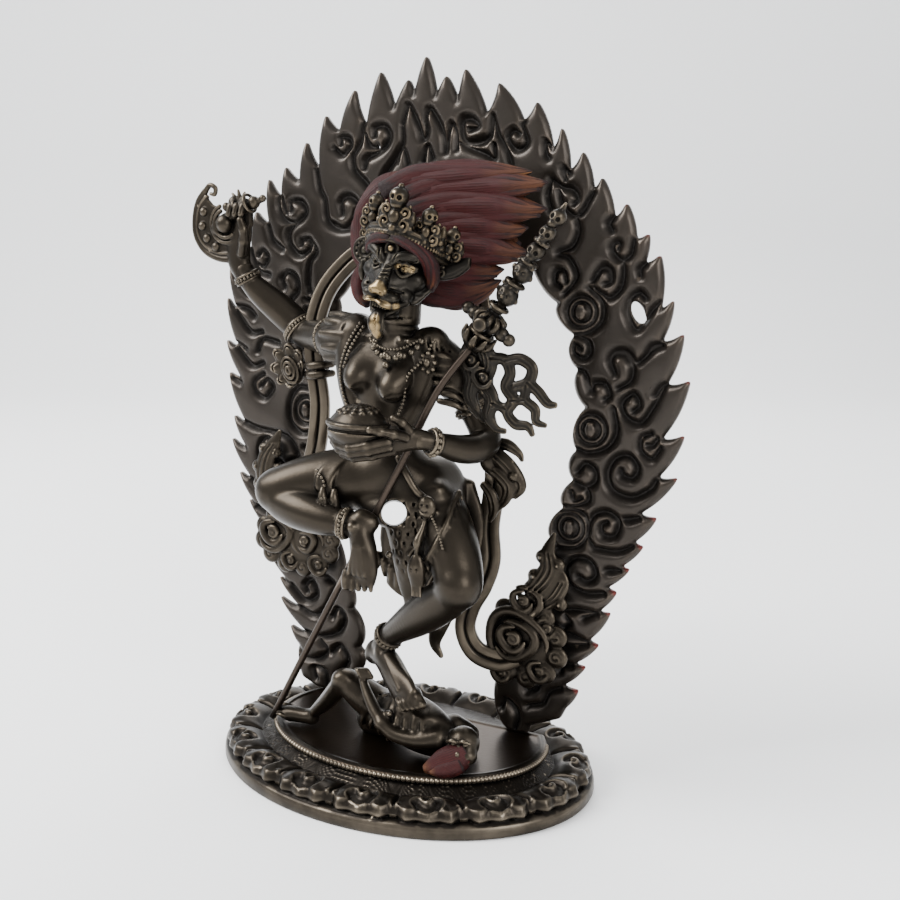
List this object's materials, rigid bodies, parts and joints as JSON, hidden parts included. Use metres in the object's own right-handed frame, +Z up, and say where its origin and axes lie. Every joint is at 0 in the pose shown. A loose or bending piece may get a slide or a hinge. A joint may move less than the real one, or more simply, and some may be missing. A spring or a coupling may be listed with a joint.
{
  "type": "simhamukha statue",
  "caption": "Cast lion-faced dancing dakini on an oval lotus base, with skull cup, curved knife, skull staff, fluttering scarf and a ring of flames behind.",
  "frame": {"origin": "centre of the lotus base's oval underside, on the surface it stands on", "axes": "+Z up; the figure faces -Y; +X is the viewer's right from the front; the ring of flames stands upright behind her, parallel to X"},
  "size_m": [0.1737, 0.0934, 0.2295],
  "materials": {
    "dark_bronze": "satin antique bronze, near black in the hollows",
    "worn_bronze": "satin antique bronze with rubbed bright edges",
    "copper_brown": "satin copper brown",
    "brown_bronze": "satin antique bronze, near black in the hollows"
  },
  "bodies": {
    "root": {"lotus_base": "dark_bronze", "dakini": "worn_bronze", "khatvanga_staff": "copper_brown", "flame_aureole": "brown_bronze"}
  },
  "joints": []
}
